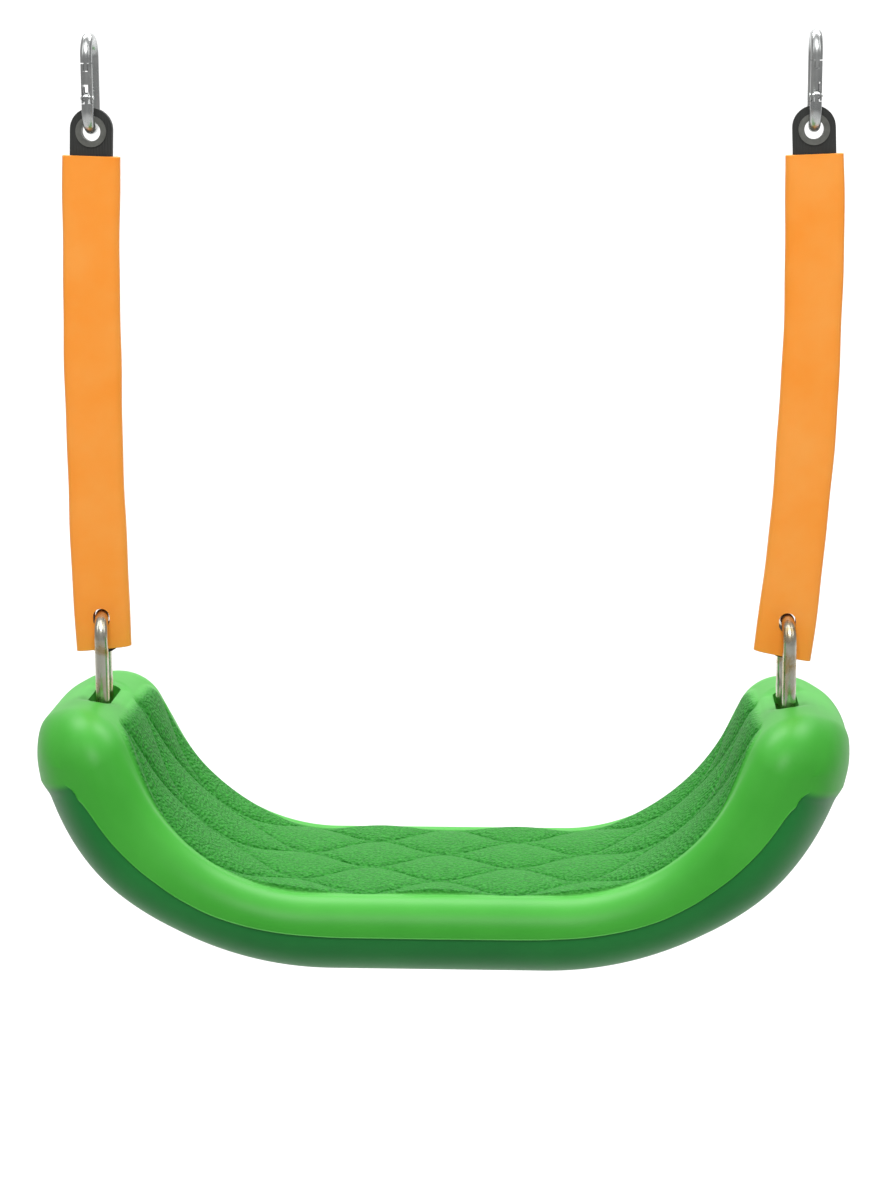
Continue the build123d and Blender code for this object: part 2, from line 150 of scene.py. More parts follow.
paper_fibre = add(paper, "ShaderNodeTexNoise", Scale=900.0, Detail=3.0)
paper_bump = add(paper, "ShaderNodeBump", Height=paper_fibre.outputs[0], Strength=0.05, Distance=0.0002)
paper_face = add(paper, "ShaderNodeBsdfPrincipled", Base_Color=linear("#BEBEBE"), Roughness=0.95,
                 Normal=paper_bump.outputs[0])
add(paper, "ShaderNodeOutputMaterial", {"is_active_output": True}, Surface=paper_face.outputs[0])
floor.data.materials.append(paper)

# ---------------------------------------------------------------------------------------------
# Seat: one hollow blow-moulded body of green polyethylene. Two mould halves meet at a parting
# line that runs round the front and back walls; a grained pad of staggered cushions is moulded
# into the sitting face, and a slot in each horn lets the hanging link in.
# ---------------------------------------------------------------------------------------------

seat_width, seat_depth, seat_thickness = 0.430, 0.165, 0.044
seat_low, seat_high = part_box("seat_shell")
seat_base, horn_height = seat_low[2], seat_high[2] - seat_low[2]
plan_corner, plan_clear = 0.052, 0.0003     # corners of the plan outline; room left for the flash
rim_round = 0.020
link_x = seat_width / 2 - 0.0332
bolt_z = seat_base + 0.110
slot_half, slot_round, slot_floor = 0.015, 0.006, 0.0949     # slot in the top of each horn
bolt_hole, bolt_hole_floor = 0.009, 0.2055                   # hole in the side of each horn


def section_corners():
    """Half of the seat's section, unrounded, from the underside's middle out, up and back in."""
    # slope of the arm's sitting face, fall of the horn's top, flare of its side, rise of the belly
    slope, fall, flare, rise = (radians(a) for a in (65.2, 24.8, 22.9, 27.0))
    belly_round, base_round, trough_round = 0.180, 0.148, 0.098
    shoulder_round, crest_round = 0.023, 0.0282
    inner, top = Vector((-sin(slope), cos(slope))), Vector((sin(fall), cos(fall)))
    side = Vector((cos(flare), -sin(flare)))
    crest_shift = (inner + top) * (crest_round / (1 + inner.dot(top)))
    side_shift = (top + side) * (shoulder_round / (1 + top.dot(side)))
    floor_half, belly_half = seat_width / 2 - 0.0894, seat_width / 2 - 0.1169
    crest_z = horn_height - crest_round + crest_shift.y
    crest_x = floor_half + (crest_z - seat_thickness) / tan(slope)
    side_x = seat_width / 2 - shoulder_round + side_shift.x
    side_z = crest_z - (side_x - crest_x) * tan(fall)
    base_x = side_x - (side_z + belly_half * tan(rise)) * tan(flare)
    base_x /= 1 - tan(rise) * tan(flare)
    base_z = (base_x - belly_half) * tan(rise)
    corners = [(0, 0), (belly_half, 0), (base_x, base_z), (side_x, side_z), (crest_x, crest_z),
               (floor_half, seat_thickness), (0, seat_thickness)]
    return corners, (belly_round, base_round, shoulder_round, crest_round, trough_round)


def rounded_section(step):
    """Points, outward normals and run length along the half section, with its corners rounded."""
    corners, rounds = section_corners()
    corners = [np.array(c, float) for c in corners]
    points, normals = [], []
    here = corners[0]

    def straight(start, end):
        run = end - start
        count = max(2, int(ceil(np.linalg.norm(run) / step)))
        along = run / np.linalg.norm(run)
        for k in range(count):
            points.append(start + run * k / count)
            normals.append(np.array([along[1], -along[0]]))

    for i, radius in enumerate(rounds):
        before, corner, after = corners[i:i + 3]
        u = (corner - before) / np.linalg.norm(corner - before)
        v = (after - corner) / np.linalg.norm(after - corner)
        turn = atan2(u[0] * v[1] - u[1] * v[0], float(u @ v))
        reach = radius * tan(abs(turn) / 2)
        straight(here, corner - u * reach)
        way = 1 if turn > 0 else -1
        centre = corner - u * reach + way * radius * np.array([-u[1], u[0]])
        count = max(3, int(ceil(radius * abs(turn) / step)))
        for k in range(count):
            a = turn * k / count
            w = np.array([u[0] * cos(a) - u[1] * sin(a), u[0] * sin(a) + u[1] * cos(a)])
            outward = np.array([w[1], -w[0]])
            points.append(centre + way * radius * outward)
            normals.append(outward)
        here = corner + v * reach
    straight(here, corners[-1])
    points.append(corners[-1])
    normals.append(np.array([0.0, 1.0]))
    points, normals = np.array(points), np.array(normals)
    run = np.r_[0, np.cumsum(np.hypot(*np.diff(points, axis=0).T))]
    return points, normals, run


def smooth(low, high, value):
    """An eased step from 0 at the low value to 1 at the high one."""
    share = np.clip((value - low) / (high - low), 0, 1)
    return share * share * (3 - 2 * share)


outline, outward, run = rounded_section(step=0.0009)
tip_x, tip_height = 0.2125, 0.096                            # where the horn's end is furthest out
tip = int(np.hypot(outline[:, 0] - tip_x, outline[:, 1] - tip_height).argmin())
tip_run, top_run = run[tip], run[-1]


def stations_at(at):
    """Points and outward directions of the outline at the given run lengths."""
    spots = np.c_[np.interp(at, run, outline[:, 0]), np.interp(at, run, outline[:, 1])]
    faces = np.c_[np.interp(at, run, outward[:, 0]), np.interp(at, run, outward[:, 1])]
    return spots, faces / np.linalg.norm(faces, axis=1)[:, None]


# Two rows of stations from the seat's middle to the horn's tip: along the sitting face and crest,
# and along the underside, each of those opposite the station above it across the wall.
STATIONS = 330
spans = np.linspace(0, 1, STATIONS)
upper_at = np.linspace(top_run, tip_run, STATIONS)
upper, upper_out = stations_at(upper_at)
even = np.linspace(0, tip_run, 600)
under, under_out = stations_at(even)
depth = 0.02                                                 # compared this deep inside the wall
opposite = [even[np.hypot(*(under - depth * under_out - spot + depth * out).T).argmin()]
            for spot, out in zip(upper, upper_out)]
split = int(0.62 * STATIONS)                                 # beyond it they run evenly to the tip
lower_at = np.r_[np.maximum.accumulate(opposite[:split]),
                 np.linspace(max(opposite[:split]), tip_run, STATIONS - split + 1)[1:]]
lower_at = np.convolve(np.pad(lower_at, 15, mode="reflect", reflect_type="odd"), np.ones(31) / 31,
                       mode="valid")
lower, lower_out = stations_at(lower_at)
floor_at = top_run - upper_at                                      # distance from the seat's middle

# Cushions: a staggered net of lens shapes 46 mm wide, 76 mm long on the floor of the U and drawn
# out to about twice that up the horns, each domed 4.6 mm, inside a rounded outline 126 mm wide.
row_pitch, row_swing, pad_half, pad_end, pad_sunk = 0.0248, 0.44, 0.0630, 0.209, 0.0026
net_length = np.where(floor_at < 0.085, 0.076, 0.076 + 0.085 * smooth(0.085, 0.125, floor_at))
net_turns = np.cumsum(np.r_[0, np.diff(floor_at)] / net_length)


def pad_relief(turns, away, y):
    """Height of the sitting face over the plain moulding, for one station and many depths."""
    swing = row_swing * row_pitch * np.cos(2 * pi * turns)
    row = np.floor(y / row_pitch)
    height = np.full_like(y, 0.0)
    for shift in (-1, 0, 1):
        k = row + shift
        low = k * row_pitch + swing * np.where(k % 2 == 0, 1, -1)
        high = (k + 1) * row_pitch + swing * np.where((k + 1) % 2 == 0, 1, -1)
        half = np.maximum((high - low) / 2, 1e-5)
        across = (y - (low + high) / 2) / half
        inside = np.abs(across) < 1
        dome = np.sqrt(np.clip(1 - across ** 2, 0, 1)) ** 0.9
        lift = dome * (0.0012 + 0.0036 * np.clip(half / row_pitch, 0, 1) ** 0.8)
        height = np.where(inside, np.maximum(height, lift), height)
    reach = ((np.abs(y) / pad_half) ** 9 + (away / pad_end) ** 9) ** (1 / 9)
    inside_pad = 1 - smooth(0.965, 1.0, reach)
    return inside_pad * (height - pad_sunk), inside_pad


pad_columns = np.linspace(-1, 1, 171)
underside_columns = np.linspace(-1, 1, 41)
arc_steps = 26


def plan_half(x):
    """Half depth of the plan outline at a distance from the middle."""
    middle = seat_width / 2 - plan_corner
    return seat_depth / 2 - plan_clear - plan_corner + np.sqrt(np.maximum(
        plan_corner ** 2 - np.clip(np.abs(x) - middle, 0, plan_corner) ** 2, 0))


def rib(spot, out, columns, depth_round, side_round, setback=0.0, lift=None):
    """One line of points across the seat, rounded over at both ends onto the front and back wall."""
    angle = np.linspace(pi / 2, 0, arc_steps)
    drop = depth_round * (1 - np.cos(angle))
    edge_y = plan_half(spot[0] - out[0] * drop) - side_round * (1 - np.sin(angle)) - setback
    y = np.r_[-edge_y[:-1], columns * edge_y[-1], edge_y[:-1][::-1]]
    rise = -np.r_[drop[:-1], np.zeros_like(columns), drop[:-1][::-1]]
    if lift is not None:
        rise += lift(y)
    return np.c_[spot[0] + out[0] * rise, y, spot[1] + out[1] * rise]


# Parting line: low on the wall's top round along the floor of the U, past the middle of each
# horn, and round its tip. The lower mould half is 0.7 mm smaller all round and 0.3 mm of flash
# stands along the line.
flash = 0.0003
seam_knots = np.array([(-0.020, 0.0255), (0, 0.0255), (0.055, 0.0257), (0.083, 0.0280),
                       (0.107, 0.0335), (0.126, 0.0415), (0.146, 0.0555), (0.158, 0.0660),
                       (0.170, 0.0800), (0.178, 0.0915), (0.184, 0.0975), (0.190, 0.1005),
                       (0.206, 0.1035)])
knot = np.arange(len(seam_knots))
seam_line = np.stack([np.interp(np.linspace(0, knot[-1], 400), knot, seam_knots[:, k])
                      for k in (0, 1)], axis=1)
half_step = 0.0007 * (1 - smooth(0.84, 0.95, spans))          # it fades out before the tip


def eased(values, width=31):
    """Takes the corners out of a row of sizes, keeping both ends."""
    padded = np.pad(values, width // 2, mode="reflect", reflect_type="odd")
    return np.convolve(padded, np.ones(width) / width, mode="valid")


# How far each station's section is rounded over, down (round) and in (reach): 16.5 mm on the floor,
# 20 mm on the arms, wider on the horn's shoulder; softer underneath, and the same at the tip.
arm, shoulder = smooth(0.3, 0.6, spans), smooth(0.58, 0.80, spans) * (1 - smooth(0.84, 1.0, spans))
near_tip = smooth(0.70, 1.0, spans)
top_round = eased(0.0165 + 0.0035 * arm + 0.006 * shoulder)
top_reach = eased(rim_round + 0.014 * shoulder)
room = np.hypot(*(upper - lower).T) - top_round - 0.003
room = np.maximum(room, 0.012 + 0.030 * smooth(0.70, 0.90, spans))
low_round = eased(np.minimum(0.0245 * (1 - near_tip) + top_round * near_tip, room))
low_reach = eased(0.036 * (1 - near_tip) + top_reach * near_tip)
upper_ribs, lower_ribs, pad_mask, groove_shade_rows = [], [], [], []
for i in range(STATIONS):
    mask = np.zeros((2, pad_columns.size + 2 * (arc_steps - 1)))

    def sitting_face(y, turns=net_turns[i], away=floor_at[i]):
        height, inside = pad_relief(turns, away, y)
        # the second mask is painted shade: a darker green for the low grooves between the cushions,
        # where shade falls
        mask[:] = inside, inside * np.clip(0.55 - (height + pad_sunk) / 0.0030, 0, 1)
        # a shallow trough between the pad and the rolled rim, fading out at the horn
        gutter = np.exp(-((np.abs(y) - 0.0635) / 0.0028) ** 2) * (1 - smooth(0.15, 0.21, away))
        return height - 0.0008 * gutter

    upper_ribs.append(rib(upper[i], upper_out[i], pad_columns, top_round[i], top_reach[i],
                          lift=sitting_face))
    lower_ribs.append(rib(lower[i], lower_out[i], underside_columns, low_round[i], low_reach[i],
                          setback=half_step[i]))
    pad_mask.append(mask[0])
    groove_shade_rows.append(mask[1])
groove_shade_rows = np.array(groove_shade_rows)
upper_ribs, lower_ribs, pad_mask = np.array(upper_ribs), np.array(lower_ribs), np.array(pad_mask)


def wall(side):
    """Rows that close the front or back from the rim, over the parting line, to the underside."""
    column = 0 if side < 0 else -1
    start, end = upper_ribs[:, column], lower_ribs[:, column]
    shares = np.linspace(0.06, 0.94, 60)
    tries = start[:, None, ::2] * (1 - shares)[None, :, None] + end[:, None, ::2] * shares[None, :, None]
    apart = np.hypot(*np.moveaxis(tries[:, :, None] - seam_line[None, None], -1, 0)).min(axis=2)
    seam = shares[apart.argmin(axis=1)]
    seam = np.convolve(np.pad(seam, 12, mode="edge"), np.ones(25) / 25, mode="valid")
    height = np.hypot(*(end - start)[:, ::2].T)
    line = seam * height
    above = [(line * part, 0.0) for part in (0.3, 0.6, 0.85)]
    at_line = [(line - 0.0004, 0.0), (line, flash), (line + 0.0003, 0.0)]
    below = [(line + 0.0005 + (height - line - 0.0005) * part, None) for part in (0, 0.25, 0.5, 0.75)]
    rows = []
    for distance, proud in above + at_line + below:
        t = np.clip(distance / np.maximum(height, 1e-6), 0.001, 0.999)[:, None]
        row = start * (1 - t) + end * t
        out = plan_half(row[:, 0]) + (-half_step if proud is None else proud * (half_step > 0))
        rows.append(np.c_[row[:, 0], side * out, row[:, 2]])
    return np.array(rows)


front, back = wall(-1), wall(1)


def seat_mesh():
    """Both halves of the seat as one closed skin; the left half mirrors the right one."""
    loop = np.concatenate([
        upper_ribs,                                             # near edge to far edge
        np.transpose(back, (1, 0, 2)),                          # down the back wall
        lower_ribs[:, ::-1],                                    # far edge to near edge underneath
        np.transpose(front, (1, 0, 2))[:, ::-1],                # up the front wall
    ], axis=1)
    stations, around = loop.shape[:2]
    plain = np.zeros((stations, around - pad_mask.shape[1]))
    # painted shade: the half below the parting line on each wall, and the whole underside, are marked
    # for a darker green that stands in for the shade there; the mark starts just under the parting line
    # and fades out near the horn tips
    deep = np.zeros((stations, around))
    deep[:, pad_mask.shape[1] + 5:around - 5] = 1 - smooth(0.90, 0.99, spans)[:, None]
    mask = np.stack([np.concatenate([pad_mask, plain], 1), np.concatenate([groove_shade_rows, plain], 1),
                     deep], -1)
    left = loop[1:][::-1].copy()
    left[..., 0] *= -1
    loop = np.concatenate([left, loop])
    mask = np.concatenate([mask[1:][::-1], mask])
    count = loop.shape[0]
    vertices = loop.reshape(-1, 3).copy()
    vertices[:, 2] += seat_base
    u, v = np.meshgrid(np.arange(count - 1), np.arange(around), indexing="ij")
    w = (v + 1) % around
    quads = np.stack([u * around + v, u * around + w, (u + 1) * around + w, (u + 1) * around + v], -1)
    # soft dents lead into each link slot (1.6 mm deep) and each bolt hole (1 mm)
    x, y, z = np.abs(vertices[:, 0]), vertices[:, 1], vertices[:, 2]
    beyond = np.hypot(x - link_x, np.maximum(np.abs(y) - slot_half, 0)) - slot_round
    sits_on_top = smooth(seat_base + 0.118, seat_base + 0.126, z)
    vertices[:, 2] -= sits_on_top * 0.0016 * np.exp(-(np.maximum(beyond, 0) / 0.0035) ** 2)
    beyond = np.hypot(y, z - bolt_z) - bolt_hole
    faces_out = smooth(0.200, 0.206, x)
    inward = faces_out * 0.0010 * np.exp(-(np.maximum(beyond, 0) / 0.0020) ** 2)
    vertices[:, 0] -= np.sign(vertices[:, 0]) * inward
    mesh = bpy.data.meshes.new("seat_moulding")
    mesh.from_pydata(vertices.tolist(), [], quads.reshape(-1, 4).tolist())
    # the third layer carries the painted shade of the lower half
    for k, name in enumerate(("pad_grain", "pad_groove_shade", "painted_shade_lower_half")):
        layer = mesh.attributes.new(name, "FLOAT", "POINT")
        layer.data.foreach_set("value", mask[..., k].reshape(-1).astype(np.float32))
    skin = bmesh.new()
    skin.from_mesh(mesh)
    bmesh.ops.remove_doubles(skin, verts=skin.verts, dist=0.000002)
    bmesh.ops.holes_fill(skin, edges=[e for e in skin.edges if e.is_boundary], sides=0)
    bmesh.ops.recalc_face_normals(skin, faces=skin.faces)
    skin.to_mesh(mesh)
    skin.free()
    return mesh


seat = bpy.data.objects.new("seat_moulding", seat_mesh())
bpy.context.collection.objects.link(seat)


def hollow_out(target, profile, axis, start, end):
    """Cuts a straight-sided recess: the profile is pushed along an axis from start to end."""
    tool = bmesh.new()
    ends = []
    for at in (start, end):
        corners = [{"X": (at, a, b), "Y": (a, at, b), "Z": (a, b, at)}[axis] for a, b in profile]
        ends.append([tool.verts.new(c) for c in corners])
    tool.faces.new(ends[0])
    tool.faces.new(ends[1][::-1])
    for k in range(len(profile)):
        m = (k + 1) % len(profile)
        tool.faces.new((ends[0][m], ends[0][k], ends[1][k], ends[1][m]))
    bmesh.ops.recalc_face_normals(tool, faces=tool.faces)
    mesh = bpy.data.meshes.new("cutter")
    tool.to_mesh(mesh)
    tool.free()
    cutter = bpy.data.objects.new("cutter", mesh)
    bpy.context.collection.objects.link(cutter)
    cut = target.modifiers.new("cut", "BOOLEAN")
    cut.operation, cut.solver, cut.object = "DIFFERENCE", "EXACT", cutter
    result = bpy.data.meshes.new_from_object(target.evaluated_get(bpy.context.evaluated_depsgraph_get()))
    target.modifiers.remove(cut)
    target.data = result
    bpy.data.objects.remove(cutter)


for way in (-1, 1):
    turns = np.linspace(0, 2 * pi, 48, endpoint=False)
    slot = [(way * link_x + slot_round * cos(a),
             (slot_half if sin(a) >= 0 else -slot_half) + slot_round * sin(a)) for a in turns]
    hollow_out(seat, slot, "Z", seat_base + slot_floor, seat_base + 0.150)
    hole = [(bolt_hole * cos(a), bolt_z + bolt_hole * sin(a)) for a in turns]
    hollow_out(seat, hole, "X", way * bolt_hole_floor, way * 0.230)
seat.data.shade_smooth()
seat.data.set_sharp_from_angle(angle=radians(52))

# Satin polyethylene: soft wide highlights, slightly cloudy pigment in 60 mm patches and a faint
# orange peel of 5 mm. The pad has a duller leather grain, pebbles of 1.5 mm drawn at 1.8 mm.
seat_plastic = new_material("blow_moulded_green_polyethylene")
where = add(seat_plastic, "ShaderNodeTexCoord").outputs["Object"]
grain_mask = add(seat_plastic, "ShaderNodeAttribute", {"attribute_name": "pad_grain"}).outputs["Fac"]
groove = add(seat_plastic, "ShaderNodeAttribute", {"attribute_name": "pad_groove_shade"}).outputs["Fac"]
pebble = add(seat_plastic, "ShaderNodeTexVoronoi", {"feature": "SMOOTH_F1"}, Vector=where, Scale=560.0,
             Smoothness=0.35, Randomness=1.0)
wrinkle = add(seat_plastic, "ShaderNodeTexNoise", Vector=where, Scale=420.0, Detail=3.0, Roughness=0.6)
cloud = add(seat_plastic, "ShaderNodeTexNoise", Vector=where, Scale=16.0, Detail=4.0, Roughness=0.55)
speck = add(seat_plastic, "ShaderNodeTexNoise", Vector=where, Scale=700.0, Detail=2.0)
peel = add(seat_plastic, "ShaderNodeTexNoise", Vector=where, Scale=190.0, Detail=2.0)
cloudy = add(seat_plastic, "ShaderNodeMapRange", Value=cloud.outputs[0], From_Min=0.3, From_Max=0.7)
smooth_green = add(seat_plastic, "ShaderNodeMix", {"data_type": "RGBA"}, i0=cloudy.outputs[0],
                   i6=linear("#3A9E2E"), i7=linear("#45A938"))
pits = add(seat_plastic, "ShaderNodeMapRange", Value=speck.outputs[0], From_Min=0.35, From_Max=0.68)
grained_green = add(seat_plastic, "ShaderNodeMix", {"data_type": "RGBA"}, i0=pits.outputs[0],
                    i6=linear("#157018"), i7=linear("#268C22"))
# painted shade: the low grooves between the cushions are drawn in a darker green
pad_green = add(seat_plastic, "ShaderNodeMix", {"data_type": "RGBA"}, i0=groove,
                i6=grained_green.outputs[2], i7=linear("#1C6A22"))
# painted shade: the half below the parting line is drawn in a deeper, cooler green than the half above
# it, standing in for the shade that falls on the underside
lower = add(seat_plastic, "ShaderNodeAttribute", {"attribute_name": "painted_shade_lower_half"}).outputs["Fac"]
painted_shade_green = add(seat_plastic, "ShaderNodeMix", {"data_type": "RGBA"}, i0=cloudy.outputs[0],
                 i6=linear("#136E2D"), i7=linear("#1A7A32"))
skin_green = add(seat_plastic, "ShaderNodeMix", {"data_type": "RGBA"}, i0=lower,
                 i6=smooth_green.outputs[2], i7=painted_shade_green.outputs[2])
green = add(seat_plastic, "ShaderNodeMix", {"data_type": "RGBA"}, i0=grain_mask,
            i6=skin_green.outputs[2], i7=pad_green.outputs[2])
grain_height = add(seat_plastic, "ShaderNodeMath", {"operation": "ADD"}, i0=pebble.outputs[0],
                   i1=wrinkle.outputs[0])
grain_only = add(seat_plastic, "ShaderNodeMath", {"operation": "MULTIPLY"}, i0=grain_height.outputs[0],
                 i1=grain_mask)
grain_bump = add(seat_plastic, "ShaderNodeBump", Height=grain_only.outputs[0], Strength=0.85,
                 Distance=0.0012)
peel_bump = add(seat_plastic, "ShaderNodeBump", Height=peel.outputs[0], Strength=0.10, Distance=0.0004,
                Normal=grain_bump.outputs[0])
gloss = add(seat_plastic, "ShaderNodeMapRange", Value=grain_mask, To_Min=0.44, To_Max=0.66)
moulded_face = add(seat_plastic, "ShaderNodeBsdfPrincipled", Base_Color=green.outputs[2],
                   Roughness=gloss.outputs[0], IOR=1.50, Specular_IOR_Level=0.25,
                   Normal=peel_bump.outputs[0], Subsurface_Weight=0.06, Subsurface_Scale=0.002,
                   Subsurface_Radius=(0.4, 1.0, 0.3))
add(seat_plastic, "ShaderNodeOutputMaterial", {"is_active_output": True},
    Surface=moulded_face.outputs[0])
seat.data.materials.clear()
seat.data.materials.append(seat_plastic)
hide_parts("seat_shell")
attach(seat, "seat")

# ---------------------------------------------------------------------------------------------
# Bolt, washer, bushing, insert and cap in each horn: a zinc-plated socket bolt screws into a
# brass insert moulded in the horn, the link turns on a steel bushing, and a plug hides the head.
# ---------------------------------------------------------------------------------------------


def repaint(node_name, material):
    """Gives a piece kept from the CAD its own finish."""
    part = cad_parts[node_name]
    part.data.materials.clear()
    part.data.materials.append(material)
    for face in part.data.polygons:
        face.material_index = 0


# Zinc-plated steel: a cool grey metal, hazy in 4 mm patches, with a crystal spangle of 1.1 mm.
zinc = new_material("zinc_plated_steel")
where = add(zinc, "ShaderNodeTexCoord").outputs["Object"]
spangle = add(zinc, "ShaderNodeTexVoronoi", Vector=where, Scale=900.0)
haze = add(zinc, "ShaderNodeTexNoise", Vector=where, Scale=240.0, Detail=4.0)
zinc_tint = add(zinc, "ShaderNodeMix", {"data_type": "RGBA"}, i0=haze.outputs[0],
                i6=linear("#B9BBB8"), i7=linear("#D6D5CC"))
zinc_gloss = add(zinc, "ShaderNodeMapRange", Value=haze.outputs[0], To_Min=0.26, To_Max=0.42)
zinc_bump = add(zinc, "ShaderNodeBump", Height=spangle.outputs[0], Strength=0.08, Distance=0.0002)
zinc_face = add(zinc, "ShaderNodeBsdfPrincipled", Base_Color=zinc_tint.outputs[2], Metallic=1.0,
                Roughness=zinc_gloss.outputs[0], Normal=zinc_bump.outputs[0])
add(zinc, "ShaderNodeOutputMaterial", {"is_active_output": True}, Surface=zinc_face.outputs[0])

# Turned brass: a warm metal with fine rings from the tool, 0.5 mm apart.
brass = new_material("turned_brass")
where = add(brass, "ShaderNodeTexCoord").outputs["Object"]
turning = add(brass, "ShaderNodeTexWave", {"bands_direction": "X"}, Vector=where, Scale=600.0,
              Distortion=1.5, Detail=2.0)
brass_tint = add(brass, "ShaderNodeMix", {"data_type": "RGBA"}, i0=turning.outputs[1],
                 i6=linear("#B58A3C"), i7=linear("#D9B25E"))
brass_bump = add(brass, "ShaderNodeBump", Height=turning.outputs[1], Strength=0.15, Distance=0.0001)
brass_face = add(brass, "ShaderNodeBsdfPrincipled", Base_Color=brass_tint.outputs[2], Metallic=1.0,
                 Roughness=0.32, Normal=brass_bump.outputs[0])
add(brass, "ShaderNodeOutputMaterial", {"is_active_output": True}, Surface=brass_face.outputs[0])

# Moulded polyethylene plug: the seat's green with a smoother, glossier skin and 5 mm flow clouds.
plug_plastic = new_material("injection_moulded_green_polyethylene")
where = add(plug_plastic, "ShaderNodeTexCoord").outputs["Object"]
flow = add(plug_plastic, "ShaderNodeTexNoise", Vector=where, Scale=220.0, Detail=3.0)
plug_tint = add(plug_plastic, "ShaderNodeMix", {"data_type": "RGBA"}, i0=flow.outputs[0],
                i6=linear("#37903A"), i7=linear("#41A240"))
plug_bump = add(plug_plastic, "ShaderNodeBump", Height=flow.outputs[0], Strength=0.12, Distance=0.0003)
plug_face = add(plug_plastic, "ShaderNodeBsdfPrincipled", Base_Color=plug_tint.outputs[2],
                Roughness=0.40, IOR=1.5, Normal=plug_bump.outputs[0])
add(plug_plastic, "ShaderNodeOutputMaterial", {"is_active_output": True}, Surface=plug_face.outputs[0])

for side in ("left", "right"):
    repaint(f"{side}_anchor_bolt", zinc)
    repaint(f"{side}_bolt_washer", zinc)
    repaint(f"{side}_bolt_bushing", zinc)
    repaint(f"{side}_threaded_insert", brass)
    repaint(f"{side}_bolt_cap", plug_plastic)

# ---------------------------------------------------------------------------------------------
# Link: an oval ring of 7.5 mm round steel wire, bent and butt welded on one straight side, then
# bright zinc plated with a faint yellow passivation. It stands in the slot and turns on the bolt.
# ---------------------------------------------------------------------------------------------

# Yellow-passivated zinc: a bright mirror with straw-coloured patches of 15 mm and brown rub marks
# drawn out along the wire, 2 mm wide.
plated_link = new_material("yellow_passivated_zinc_plate")
where = add(plated_link, "ShaderNodeTexCoord").outputs["Object"]
stain = add(plated_link, "ShaderNodeTexNoise", Vector=where, Scale=70.0, Detail=5.0, Roughness=0.6,
            Distortion=0.6)
streak_map = add(plated_link, "ShaderNodeMapping", Vector=where, Scale=(1.0, 1.0, 0.22))
streak = add(plated_link, "ShaderNodeTexNoise", Vector=streak_map.outputs[0], Scale=420.0, Detail=4.0)
stained = add(plated_link, "ShaderNodeMapRange", Value=stain.outputs[0], From_Min=0.45, From_Max=0.68)
link_tint = add(plated_link, "ShaderNodeMix", {"data_type": "RGBA"}, i0=stained.outputs[0],
                i6=linear("#DCDACB"), i7=linear("#BFA063"))
rubbed = add(plated_link, "ShaderNodeMapRange", Value=streak.outputs[0], From_Min=0.58, From_Max=0.80)
link_colour = add(plated_link, "ShaderNodeMix", {"data_type": "RGBA"}, i0=rubbed.outputs[0],
                  i6=link_tint.outputs[2], i7=linear("#6E5A3C"))
link_gloss = add(plated_link, "ShaderNodeMapRange", Value=stain.outputs[0], To_Min=0.16, To_Max=0.36)
link_bump = add(plated_link, "ShaderNodeBump", Height=streak.outputs[0], Strength=0.12, Distance=0.0002)
link_face = add(plated_link, "ShaderNodeBsdfPrincipled", Base_Color=link_colour.outputs[2],
                Metallic=1.0, Roughness=link_gloss.outputs[0], Normal=link_bump.outputs[0])
add(plated_link, "ShaderNodeOutputMaterial", {"is_active_output": True}, Surface=link_face.outputs[0])


def mesh_tube(name, rings, closed):
    """A skin over rings of points; closed joins the last ring to the first."""
    rings = np.array(rings)
    count, around = rings.shape[:2]
    u, v = np.meshgrid(np.arange(count if closed else count - 1), np.arange(around), indexing="ij")
    n, w = (u + 1) % count, (v + 1) % around
    quads = np.stack([u * around + v, u * around + w, n * around + w, n * around + v], -1)
    mesh = bpy.data.meshes.new(name)
    mesh.from_pydata(rings.reshape(-1, 3).tolist(), [], quads.reshape(-1, 4).tolist())
    skin = bmesh.new()
    skin.from_mesh(mesh)
    bmesh.ops.recalc_face_normals(skin, faces=skin.faces)
    skin.to_mesh(mesh)
    skin.free()
    mesh.shade_smooth()
    piece = bpy.data.objects.new(name, mesh)
    bpy.context.collection.objects.link(piece)
    return piece


def wire_rings(low_z, top_z, bend, radius):
    """Rings along a closed oval in the YZ plane, with a slight bead where its ends are welded."""
    path = []
    legs, arcs = 48, 36
    for way, start, end, turn in ((1, low_z, top_z, 0), (-1, top_z, low_z, pi)):
        for k in range(legs):
            path.append((way * bend, start + (end - start) * k / legs, turn))
        for k in range(arcs):
            a = pi * k / arcs
            path.append((way * bend * cos(a), end + way * bend * sin(a), turn + a))
    rings = []
    for y, z, turn in path:
        # the bead is 0.14 mm proud of the wire, about 3 mm long, half way up the far leg
        bead = 0.00014 * np.exp(-((z - (low_z + top_z) / 2) / 0.0016) ** 2) if y > 0.9 * bend else 0
        thick = radius - 0.00015 + bead
        ring = []
        for a in np.linspace(0, 2 * pi, 28, endpoint=False):
            ring.append((thick * cos(a), y + thick * sin(a) * cos(turn), z + thick * sin(a) * sin(turn)))
        rings.append(ring)
    return rings


for side in ("left", "right"):
    low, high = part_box(f"{side}_link_ring")
    wire_radius = 0.00375
    bend = (high[1] - low[1]) / 2 - wire_radius
    middle = (high[0] + low[0]) / 2
    straight = np.array(wire_rings(low[2] + wire_radius + bend, high[2] - wire_radius - bend, bend,
                                   wire_radius))
    askew = radians(5)                                       # the ring stands so in its slot
    rings = straight.copy()
    rings[..., 0] = middle + straight[..., 0] * cos(askew) - straight[..., 1] * sin(askew)
    rings[..., 1] = straight[..., 0] * sin(askew) + straight[..., 1] * cos(askew)
    ring_piece = mesh_tube(f"{side}_plated_link", rings, True)
    ring_piece.data.materials.append(plated_link)
    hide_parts(f"{side}_link_ring")
    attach(ring_piece, f"{side}_link")

